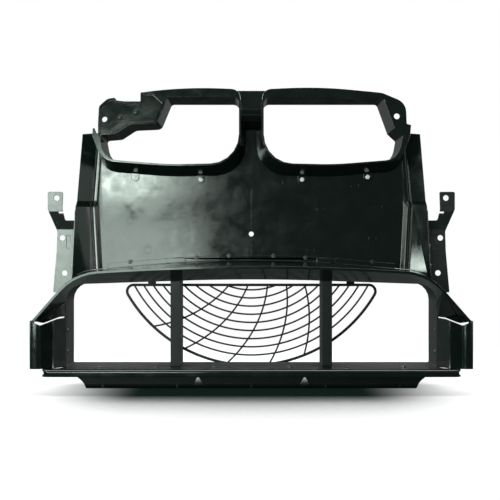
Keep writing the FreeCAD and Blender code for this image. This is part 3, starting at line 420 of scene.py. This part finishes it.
def fastener_tree(hexagon):
    """A rivet, or a screw with a hexagon on its flange, on every point, with its head facing the way that
    the point's facing attribute says."""
    name = "hexagon_screws" if hexagon else "domed_rivets"
    made = bpy.data.node_groups.get(name)
    if made:
        return made
    tree, given = node_tree(name, {
        "Head Radius": 4.5 * MM, "Head Height": 1.7 * MM, "Shank Radius": 2.4 * MM,
        "Tail Radius": 3.6 * MM, "Tail Height": 1.7 * MM, "Grip": 6.0 * MM})
    parts = []
    if hexagon:
        washer = calc(tree, "MULTIPLY", given["Head Height"], 0.35)
        key = calc(tree, "MULTIPLY", given["Head Radius"], 0.78)
        parts.append(domed_disc(tree, given["Head Radius"], washer, fall=0.4))
        parts.append(domed_disc(tree, key, given["Head Height"], fall=0.12, sides=6))
    else:
        pin = calc(tree, "MULTIPLY", given["Head Radius"], 0.38)
        parts.append(domed_disc(tree, given["Head Radius"], given["Head Height"], fall=0.75))
        parts.append(domed_disc(tree, pin, given["Head Height"], fall=0.3, sides=16))
    back = calc(tree, "MULTIPLY", given["Grip"], -1.0)
    tail = domed_disc(tree, given["Tail Radius"], given["Tail Height"], fall=0.6)
    parts.append(moved(tree, tail, back, flip=True))
    shank = domed_disc(tree, given["Shank Radius"], given["Grip"], fall=0.0, sides=20)
    parts.append(moved(tree, shank, back))
    join = add_node(tree, "GeometryNodeJoinGeometry")
    for part in parts:
        tree.links.new(part, join.inputs[0])
    soft = add_node(tree, "GeometryNodeSetShadeSmooth", {"Geometry": join.outputs[0], "Shade Smooth": False})
    facing = add_node(tree, "GeometryNodeInputNamedAttribute", {"Name": "facing"}, data_type="FLOAT_VECTOR")
    turn = add_node(tree, "FunctionNodeAlignRotationToVector", {"Vector": facing.outputs[0]}, axis="Z")
    spread = add_node(tree, "GeometryNodeInstanceOnPoints", {
        "Points": given["Geometry"], "Instance": soft.outputs[0], "Rotation": turn.outputs[0]})
    close_tree(tree, given, spread.outputs[0])
    return tree


def solid_boxes(name):
    """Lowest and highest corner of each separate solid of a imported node, from its mesh."""
    bm = joined_mesh(name, SAME_CORNER)
    boxes = []
    left = set(bm.verts)
    while left:
        start = left.pop()
        found, waiting = [start], [start]
        while waiting:
            vert = waiting.pop()
            for edge in vert.link_edges:
                other = edge.other_vert(vert)
                if other in left:
                    left.remove(other)
                    found.append(other)
                    waiting.append(other)
        low = Vector([min(v.co[i] for v in found) for i in range(3)])
        high = Vector([max(v.co[i] for v in found) for i in range(3)])
        boxes.append((low, high))
    bm.free()
    return sorted(boxes, key=lambda pair: tuple(pair[0]))


PACKED_RIVET_HEAD = 1.8 * MM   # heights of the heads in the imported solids
PACKED_SCREW_HEAD = 2.4 * MM
SHANK_SHARE = 0.52             # radii of shank and tail, in shares of the head's radius
TAIL_SHARE = 0.8


def fasteners(name, facing, material, slot, head, hexagon=False, height=1.7 * MM):
    """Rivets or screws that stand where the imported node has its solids. facing is the way the heads look;
    heads on the two sides of the car look outwards when it is None."""
    seats, ways = [], []
    packed = PACKED_SCREW_HEAD if hexagon else PACKED_RIVET_HEAD
    for low, high in solid_boxes(name):
        middle = (low + high) / 2
        way = Vector(facing) if facing else Vector((math.copysign(1.0, middle.x), 0.0, 0.0))
        length = abs((high - low).dot(way))
        seats.append(middle + way * (length / 2 - packed))
        ways.append(way)
        grip = length - 2 * packed
    piece = new_piece(name + "_finished", seats)
    layer = piece.data.attributes.new("facing", "FLOAT_VECTOR", "POINT")
    for item, way in zip(layer.data, ways):
        item.vector = way
    run_tree(piece, fastener_tree(hexagon), material, **{
        "Head Radius": head, "Head Height": height, "Shank Radius": head * SHANK_SHARE,
        "Tail Radius": head * TAIL_SHARE, "Tail Height": height, "Grip": grip})
    settle(piece, None)
    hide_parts(name)


def flatten(piece):
    """Applies a piece's modifiers, so that it is a plain mesh."""
    graph = bpy.context.evaluated_depsgraph_get()
    mesh = bpy.data.meshes.new_from_object(piece.evaluated_get(graph), preserve_all_data_layers=True,
                                           depsgraph=graph)
    old = piece.data
    piece.modifiers.clear()
    piece.data = mesh
    bpy.data.meshes.remove(old)


def settle(piece, material):
    """Gives a piece its material and the body it rides on."""
    if material:
        piece.data.materials.clear()
        piece.data.materials.append(finish(material))
    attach(piece, BODY)


def sizes():
    return bpy.context.scene.front_panel_sizes


def mould(names, material="polished_polypropylene", cuts=()):
    """Finishes moulded nodes with the radii of the settings."""
    for name in names:
        rounded_piece(name, material, sizes().edge_round, sizes().bend_round, cuts)


def planes_across(axis, pitch, numbers):
    """Points and directions of planes square to an axis, at these multiples of a pitch in millimetres."""
    way = [0.0, 0.0, 0.0]
    way[axis] = 1.0
    return [([number * pitch * MM * part for part in way], way) for number in numbers]


PLATE_CUT_PITCH = 30           # planes across X
PLATE_CUTS = range(-8, 9)
BRACKET_CUT_PITCH = 8          # planes across Z
BRACKET_CUTS = range(-11, 9)
BRACKET_BEND_ROUND = 0.8 * MM


class FRONTPANEL_OT_plate(bpy.types.Operator):
    """Finish the centre plate and the bridge between the grille ducts"""
    bl_idname = "front_panel.plate"
    bl_label = "Centre Plate"

    def execute(self, context):
        mould(["centre_plate"], cuts=planes_across(0, PLATE_CUT_PITCH, PLATE_CUTS))
        mould(["centre_bridge"])
        return {"FINISHED"}


# Rings that ejector pins left on the plate: across and up in millimetres
PIN_MARKS = ((-196.5, 22.6), (44.9, 82.5), (-150.0, 78.0), (-92.0, 24.0), (-20.0, 60.0), (112.0, 40.0),
             (168.0, 78.0), (196.0, -8.0), (96.0, -26.0), (-48.0, -24.0), (-168.0, -26.0), (206.0, 44.0))
PARTING_RUNS = ((8.0, 40.0, 72.0), (-8.0, -20.0, -34.0))   # heights, above and below the hole
MARKS_Y = 0.05                                             # middle of rings and line, in the plate's face


def ring_tree():
    """A low ring lying in the plate's plane on every point."""
    tree, given = node_tree("pin_rings", {"Ring Radius": 6.0 * MM, "Ridge Radius": 0.3 * MM})
    rail = add_node(tree, "GeometryNodeCurvePrimitiveCircle", {
        "Radius": given["Ring Radius"], "Resolution": 40})
    ridge = add_node(tree, "GeometryNodeCurvePrimitiveCircle", {
        "Radius": given["Ridge Radius"], "Resolution": 8})
    ring = add_node(tree, "GeometryNodeCurveToMesh", {
        "Curve": rail.outputs[0], "Profile Curve": ridge.outputs[0]})
    soft = add_node(tree, "GeometryNodeSetShadeSmooth", {"Geometry": ring.outputs[0]})
    spread = add_node(tree, "GeometryNodeInstanceOnPoints", {
        "Points": given["Geometry"], "Instance": soft.outputs[0], "Rotation": (math.pi / 2, 0.0, 0.0)})
    close_tree(tree, given, spread.outputs[0])
    return tree


class FRONTPANEL_OT_marks(bpy.types.Operator):
    """Add the rings of the ejector pins and the mould's parting line to the centre plate"""
    bl_idname = "front_panel.marks"
    bl_label = "Mould Marks"

    def execute(self, context):
        rings = new_piece("plate_pin_marks", [Vector((x, MARKS_Y, z)) * MM for x, z in PIN_MARKS])
        run_tree(rings, ring_tree(), "polished_polypropylene", **{"Ring Radius": sizes().mark_radius})
        settle(rings, None)
        runs = [[Vector((0.0, MARKS_Y, z)) for z in run] for run in PARTING_RUNS]
        line = lines_mesh("plate_parting_line", runs, (False, False))
        run_tree(line, swept_tree(), "polished_polypropylene",
                 Width=0.5 * MM, Depth=0.4 * MM, Rounding=0.15 * MM)
        settle(line, None)
        return {"FINISHED"}


class FRONTPANEL_OT_ducts(bpy.types.Operator):
    """Finish the two grille ducts and the sensor arm"""
    bl_idname = "front_panel.ducts"
    bl_label = "Grille Ducts"

    def execute(self, context):
        mould(["right_grille_duct", "left_grille_duct", "left_sensor_arm"])
        return {"FINISHED"}


class FRONTPANEL_OT_intake(bpy.types.Operator):
    """Finish the flared intake: hood, scoops, floor, rear frame and struts"""
    bl_idname = "front_panel.intake"
    bl_label = "Lower Intake"

    def execute(self, context):
        mould(["lower_duct_hood", "left_side_scoop", "right_side_scoop", "lower_duct_floor"])
        mould(["rear_frame", "left_strut", "right_strut", "lower_apron"], "satin_polypropylene")
        return {"FINISHED"}


# Fan guard, in millimetres: the fan's axis, rim, rings, bar and spokes
GUARD_AXIS_Z = 20.1
GUARD_RIM_R = 237.8
GUARD_RIM_WIDTH = 4.5
GUARD_FIRST_R = 112.4
GUARD_PITCH = 13.54
GUARD_RINGS = 9
RING_STEP = 0.75               # degrees between a ring's points
GUARD_BAR_Z = -81.8
GUARD_SHOULDER_R = 13.0
SHOULDER_STEPS = 9
HALF_RIM_STEPS = 60
GUARD_WIRE = 2.8
GUARD_FRONT_Y = 42.0
GUARD_DEPTH = 3.0
NET_THINNER = 0.1              # by which rings and spokes are thinner than the rim
GUARD_ROUNDING = 0.9
SPOKE_ANGLES = (43.3, 27.9, 9.8, -7.1, -21.6)
SPOKE_SWEEP = 0.187            # degrees for each millimetre inwards from the rim
SPOKE_STEPS = 60
GUARD_SCREWS = ((-165.0, -69.0), (165.0, -69.0), (-33.79, -220.34), (33.79, -220.34))
# Section of a screw's eye as radius and depth, then the neck: half width, foot in the bar, top, depths
EYE_SECTION = ((2.7, 0.0), (6.4, 0.0), (7.0, 0.6), (7.0, 2.4), (6.4, 3.0), (2.7, 3.0))
EYE_SIDES = 28
NECK_HALF = 6.6
NECK_FOOT = 3.0
NECK_TOP = 3.4
NECK_DEPTHS = (0.05, 2.95)


def on_guard(r, degrees):
    """Point of the guard in the middle of its depth; the angle runs from straight down."""
    a = math.radians(degrees)
    return Vector((-r * math.sin(a), GUARD_FRONT_Y + GUARD_DEPTH / 2, GUARD_AXIS_Z - r * math.cos(a)))


def guard_shoulder():
    """Middle of the arc that joins bar and rim on the right, and that arc's radius on the middle line."""
    depth = GUARD_AXIS_Z - GUARD_BAR_Z + GUARD_SHOULDER_R
    reach = GUARD_RIM_R + GUARD_RIM_WIDTH / 2 - GUARD_SHOULDER_R
    across = math.sqrt(reach ** 2 - depth ** 2)
    return across, GUARD_BAR_Z - GUARD_SHOULDER_R, GUARD_SHOULDER_R - GUARD_RIM_WIDTH / 2


def inside_guard(point):
    """Whether a point lies within the middle line of rim and bar."""
    x, z, r = guard_shoulder()
    if point.z > GUARD_BAR_Z - GUARD_RIM_WIDTH / 2:
        return False
    return abs(point.x) < x or point.z < z or math.hypot(abs(point.x) - x, point.z - z) < r


def guard_loop():
    """Middle line of rim and bar: the long arc below, a rounded shoulder, the bar, and the other shoulder."""
    x, z, r = guard_shoulder()
    y = GUARD_FRONT_Y + GUARD_DEPTH / 2
    end = math.atan2(x, GUARD_AXIS_Z - z)
    right = []
    for k in range(1, SHOULDER_STEPS + 1):
        turn = end - math.pi / 2 + (math.pi - end) * k / SHOULDER_STEPS
        right.append(Vector((x + r * math.cos(turn), y, z + r * math.sin(turn))))
    arc = [on_guard(GUARD_RIM_R, math.degrees(end) * (1 - k / HALF_RIM_STEPS))
           for k in range(2 * HALF_RIM_STEPS + 1)]
    return arc + right + [Vector((-point.x, point.y, point.z)) for point in right[::-1]]


def lines_mesh(name, lines, closed):
    """Mesh of open or closed runs of edges, from points in millimetres."""
    verts, edges = [], []
    for line, shut in zip(lines, closed):
        first = len(verts)
        verts += [point * MM for point in line]
        edges += [(first + i, first + i + 1) for i in range(len(line) - 1)]
        if shut:
            edges.append((len(verts) - 1, first))
    return new_piece(name, verts, edges)


def guard_lugs():
    """Eyes for the four screws, each a short tube, with a neck up from the bar for the upper two."""
    bm = bmesh.new()
    for x, z in GUARD_SCREWS:
        rings = []
        for r, y in EYE_SECTION:
            ring = []
            for k in range(EYE_SIDES):
                turn = k * math.pi / (EYE_SIDES / 2)
                point = Vector((x + r * math.cos(turn), GUARD_FRONT_Y + y, z + r * math.sin(turn)))
                ring.append(bm.verts.new(point * MM))
            rings.append(ring)
        for near, far in zip(rings, rings[1:] + rings[:1]):
            for i in range(EYE_SIDES):
                bm.faces.new((near[i], near[i - 1], far[i - 1], far[i]))
        if z > GUARD_BAR_Z:
            foot, top = GUARD_BAR_Z - NECK_FOOT, z - NECK_TOP
            corners = ((x - NECK_HALF, foot), (x + NECK_HALF, foot), (x + NECK_HALF, top),
                       (x - NECK_HALF, top))
            front, rear = [[bm.verts.new(Vector((cx, GUARD_FRONT_Y + y, cz)) * MM) for cx, cz in corners]
                           for y in NECK_DEPTHS]
            bm.faces.new(front)
            bm.faces.new(rear[::-1])
            for i in range(4):
                bm.faces.new((front[i - 1], rear[i - 1], rear[i], front[i]))
    bmesh.ops.recalc_face_normals(bm, faces=bm.faces)
    piece = new_piece("fan_guard_lugs", [])
    bm.to_mesh(piece.data)
    bm.free()
    return piece


class FRONTPANEL_OT_guard(bpy.types.Operator):
    """Sweep the finger guard of the fan: rings, spokes, rim and bar"""
    bl_idname = "front_panel.guard"
    bl_label = "Fan Guard"

    def execute(self, context):
        lines = []
        for i in range(GUARD_RINGS):
            r = GUARD_FIRST_R + i * GUARD_PITCH
            points = [on_guard(r, -90 + k * RING_STEP) for k in range(int(180 / RING_STEP) + 1)]
            lines.append([point for point in points if inside_guard(point)])
        for angle in SPOKE_ANGLES:
            points = []
            for k in range(SPOKE_STEPS + 1):
                r = GUARD_RIM_R - (GUARD_RIM_R - GUARD_FIRST_R + GUARD_PITCH) * k / SPOKE_STEPS
                points.append(on_guard(r, angle - SPOKE_SWEEP * (GUARD_RIM_R - r)))
            lines.append([point for point in points if inside_guard(point)])
        net = lines_mesh("fan_guard_net", lines, [False] * len(lines))
        run_tree(net, swept_tree(), "satin_polypropylene", Width=GUARD_WIRE * MM,
                 Depth=GUARD_DEPTH * MM - NET_THINNER * MM, Rounding=GUARD_ROUNDING * MM)
        rim = lines_mesh("fan_guard_rim", [guard_loop()], [True])
        run_tree(rim, swept_tree(), "satin_polypropylene", Width=GUARD_RIM_WIDTH * MM,
                 Depth=GUARD_DEPTH * MM, Rounding=GUARD_ROUNDING * MM)
        lugs = guard_lugs()
        for piece in (net, rim):
            settle(piece, None)
        settle(lugs, "satin_polypropylene")
        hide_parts("fan_guard")
        return {"FINISHED"}


class FRONTPANEL_OT_brackets(bpy.types.Operator):
    """Finish the two pressed steel brackets"""
    bl_idname = "front_panel.brackets"
    bl_label = "Side Brackets"

    def execute(self, context):
        for name in ("left_bracket", "right_bracket"):
            rounded_piece(name, "dip_coated_steel", sizes().steel_round,
                          BRACKET_BEND_ROUND, planes_across(2, BRACKET_CUT_PITCH, BRACKET_CUTS))
        return {"FINISHED"}


SCREW_HEAD = {"head": 4.9 * MM, "height": 2.3 * MM, "hexagon": True}
CLIP_HEAD = {"head": 3.5 * MM, "height": 1.3 * MM}
SUNK_HEAD = {"head": 3.6 * MM, "height": 0.3 * MM}


class FRONTPANEL_OT_fasteners(bpy.types.Operator):
    """Finish rivets, push clips and screws"""
    bl_idname = "front_panel.fasteners"
    bl_label = "Rivets And Screws"

    def execute(self, context):
        front, down, rear = (0.0, -1.0, 0.0), (0.0, 0.0, -1.0), (0.0, 1.0, 0.0)
        head = sizes().rivet_head
        fasteners("hood_rivets", front, "moulded_nylon", "nylon_fastener", **SUNK_HEAD)
        for name, way in (("sensor_arm_rivets", front), ("left_scoop_rivets", None),
                          ("right_scoop_rivets", None)):
            fasteners(name, way, "moulded_nylon", "nylon_fastener", head)
        for name in ("left_duct_clips", "right_duct_clips"):
            fasteners(name, front, "natural_nylon", "nylon_fastener", **CLIP_HEAD)
        for name in ("left_bracket_rivets", "right_bracket_rivets"):
            fasteners(name, None, "plated_steel", "fastener_steel", head)
        fasteners("guard_screws", rear, "plated_steel", "fastener_steel", **SCREW_HEAD)
        fasteners("apron_screws", down, "dip_coated_steel", "fastener_steel", **SCREW_HEAD)
        return {"FINISHED"}


# Studio, in metres and watts

FLOOR_HALF = 6.0
FLOOR_GAP = 0.1 * MM           # between the floor and the part's lowest point
CAMERA_X = -2.1 * MM
CAMERA_Z = -26.0 * MM
WHITE = (1.0, 1.0, 1.0)
COOL_WHITE = (0.84, 1.0, 0.91)
# Softboxes beside the camera, which face straight back: place, width, height, share of Softbox Power
SOFTBOXES_BESIDE_CAMERA = (
    ("softbox_upper", (-0.67, -1.7, 0.205), 1.0, 0.1, 0.19),
    ("softbox_upper_head", (-0.43, -1.69, 0.2), 0.24, 0.1, 0.1),
    ("softbox_lower", (-0.67, -1.7, -0.17), 1.0, 0.5, 0.75),
    ("softbox_far", (-1.0, -1.69, 0.1), 0.34, 0.7, 0.6),
)
# Softboxes round the part: place, point that it faces, width, height, power, colour
SOFTBOXES_AROUND = (
    ("softbox_left", (-1.5, -0.15, 0.1), (0.0, -0.1, 0.0), 0.9, 1.0, 10.0, COOL_WHITE),
    ("softbox_right", (1.7, -1.3, 0.1), (0.2, 0.0, 0.0), 1.0, 1.2, 3.2, COOL_WHITE),
    ("softbox_above", (0.0, -0.35, 1.5), (0.0, 0.0, 0.0), 1.4, 0.8, 24.0, WHITE),
    ("softbox_side", (2.2, -0.2, 0.3), (0.0, 0.0, 0.0), 1.6, 1.4, 14.0, WHITE),
    ("softbox_behind", (0.0, 1.1, 1.5), (0.0, 0.1, -0.2), 1.6, 1.2, 30.0, WHITE),
    ("softbox_behind_left", (-1.6, 1.3, 0.3), (0.0, 0.0, 0.0), 1.2, 1.4, 26.0, WHITE),
    ("softbox_behind_right", (1.6, 1.3, 0.3), (0.0, 0.0, 0.0), 1.2, 1.4, 26.0, WHITE),
)


def area_light(name, place, target, width, height, power, colour):
    light = bpy.data.lights.new(name, "AREA")
    light.shape = "RECTANGLE"
    light.size = width
    light.size_y = height
    light.energy = power
    light.color = colour
    lamp = bpy.data.objects.new(name, light)
    lamp.location = place
    lamp.rotation_euler = (Vector(target) - Vector(place)).to_track_quat("-Z", "Y").to_euler()
    bpy.context.scene.collection.objects.link(lamp)


def either(tree, factor, first, second):
    """Shader that goes from the first to the second."""
    return add_node(tree, "ShaderNodeMixShader", {
        0: factor, 1: first.outputs[0], 2: second.outputs[0]})


def studio_world():
    """White surroundings for the camera. In reflections the room is dim, so that the black plastic stays
    black, and a little lighter behind the panel."""
    world = bpy.data.worlds.new("white_studio")
    bpy.context.scene.world = world
    world.use_nodes = True
    tree = world.node_tree
    tree.nodes.clear()
    rays = add_node(tree, "ShaderNodeLightPath").outputs
    direction = add_node(tree, "ShaderNodeTexCoord").outputs["Generated"]
    depth = add_node(tree, "ShaderNodeSeparateXYZ", {"Vector": direction}).outputs["Y"]
    room = mapped(tree, depth, 0.11, 0.14, (0.05, 0.5))
    dim = add_node(tree, "ShaderNodeBackground", {"Color": (0.92, 1.0, 0.96, 1.0), "Strength": room})
    bright = add_node(tree, "ShaderNodeBackground", {"Color": WHITE + (1.0,), "Strength": 1.0})
    seen = either(tree, rays["Is Camera Ray"], dim, bright)
    add_node(tree, "ShaderNodeOutputWorld", {"Surface": seen.outputs[0]})


def pale_floor_material():
    """Studio floor: to the camera it is white, with the panel's shadow painted into its colour: ambient
    occlusion darkens both its diffuse colour and its glow towards dark green under the panel, on top of any
    shadow the lamps cast. The painted shadow is cleared away towards the sides, and the floor fades into the
    white surroundings. In reflections it is dark grey, so that the inside of the intake stays dark."""
    material, tree = new_material("white_studio_floor")
    rays = add_node(tree, "ShaderNodeLightPath").outputs
    place = own_place(tree)
    far = add_node(tree, "ShaderNodeVectorMath", {0: place}, operation="LENGTH").outputs["Value"]
    fade = mapped(tree, far, 0.5, 1.0, (0.3, 0.9))
    # Painted shadow: ambient occlusion under the panel sets how far the floor's colour goes from white to
    # dark green.
    open_sky = add_node(tree, "ShaderNodeAmbientOcclusion", {"Distance": 0.42}, samples=16).outputs["AO"]
    painted_shadow = mapped(tree, open_sky, 0.0, 1.0, (0.46, 0.98), interpolation_type="SMOOTHSTEP")
    across = add_node(tree, "ShaderNodeSeparateXYZ", {"Vector": place}).outputs["X"]
    from_middle = calc(tree, "ABSOLUTE", across)
    # The painted shadow is faded out towards the sides of the panel.
    ends = mapped(tree, from_middle, 0.0, 1.0, (0.17, 0.33), interpolation_type="SMOOTHSTEP")
    painted_shadow_cleared = add_node(tree, "ShaderNodeMix", {0: ends, 2: painted_shadow, 3: 1.0}).outputs[0]
    # colour carries the painted shadow into both the diffuse paint and the glow.
    colour = blend(tree, painted_shadow_cleared, linear("1b2a25"), WHITE + (1.0,))
    paint = add_node(tree, "ShaderNodeBsdfDiffuse", {"Color": colour})
    glow_with_painted_shadow = add_node(tree, "ShaderNodeEmission", {"Color": colour, "Strength": 1.0})
    grey = add_node(tree, "ShaderNodeBsdfDiffuse", {"Color": linear("3a403d")})
    seen = either(tree, rays["Is Camera Ray"], grey, either(tree, fade, paint, glow_with_painted_shadow))
    add_node(tree, "ShaderNodeOutputMaterial", {"Surface": seen.outputs[0]})
    return material


class FRONTPANEL_OT_studio(bpy.types.Operator):
    """Build the pale floor, the lights and the camera"""
    bl_idname = "front_panel.studio"
    bl_label = "Studio"

    def execute(self, context):
        scene = context.scene
        studio = scene.front_panel_studio
        scene.view_settings.view_transform = "Standard"
        studio_world()
        low = CAD_BOX[0][2] - FLOOR_GAP
        corners = [(x * FLOOR_HALF, y * FLOOR_HALF, low) for x, y in ((-1, -1), (1, -1), (1, 1), (-1, 1))]
        floor = new_piece("studio_floor", corners, faces=[(0, 1, 2, 3)])
        floor.data.materials.append(pale_floor_material())
        for name, place, width, height, share in SOFTBOXES_BESIDE_CAMERA:
            straight_back = (place[0], 0.0, place[2])
            area_light(name, place, straight_back, width, height, studio.softbox_power * share, COOL_WHITE)
        for softbox in SOFTBOXES_AROUND:
            area_light(*softbox)
        camera_data = bpy.data.cameras.new("camera")
        camera_data.lens = studio.focal_length
        camera_data.sensor_width = 36.0
        camera = bpy.data.objects.new("camera", camera_data)
        camera.location = (CAMERA_X, -studio.camera_distance, CAMERA_Z)
        camera.rotation_euler = (math.radians(90), 0.0, 0.0)
        scene.collection.objects.link(camera)
        scene.camera = camera
        return {"FINISHED"}


OPERATORS = (FRONTPANEL_OT_plate, FRONTPANEL_OT_marks, FRONTPANEL_OT_ducts, FRONTPANEL_OT_intake,
             FRONTPANEL_OT_guard, FRONTPANEL_OT_brackets, FRONTPANEL_OT_fasteners, FRONTPANEL_OT_studio)


class FRONTPANEL_PT_sidebar(bpy.types.Panel):
    """Panel that lists the steps in their order"""
    bl_idname = "FRONTPANEL_PT_sidebar"
    bl_label = "Front End Panel"
    bl_space_type = "VIEW_3D"
    bl_region_type = "UI"
    bl_category = "Front Panel"

    def draw(self, context):
        for group in ("front_panel_sizes", "front_panel_colours", "front_panel_studio"):
            settings = getattr(context.scene, group)
            for key in settings.__annotations__:
                self.layout.prop(settings, key)
        for step in OPERATORS:
            self.layout.operator(step.bl_idname)


CLASSES = (FrontPanelSizes, FrontPanelColours, FrontPanelStudio) + OPERATORS + (FRONTPANEL_PT_sidebar,)


def register():
    for kind in CLASSES:
        bpy.utils.register_class(kind)
    bpy.types.Scene.front_panel_sizes = bpy.props.PointerProperty(type=FrontPanelSizes)
    bpy.types.Scene.front_panel_colours = bpy.props.PointerProperty(type=FrontPanelColours)
    bpy.types.Scene.front_panel_studio = bpy.props.PointerProperty(type=FrontPanelStudio)


def unregister():
    del bpy.types.Scene.front_panel_studio
    del bpy.types.Scene.front_panel_colours
    del bpy.types.Scene.front_panel_sizes
    for kind in reversed(CLASSES):
        bpy.utils.unregister_class(kind)


def main():
    register()
    for step in OPERATORS:
        group, call = step.bl_idname.split(".")
        getattr(getattr(bpy.ops, group), call)()
    bpy.context.view_layer.update()


if __name__ == "__main__":
    main()
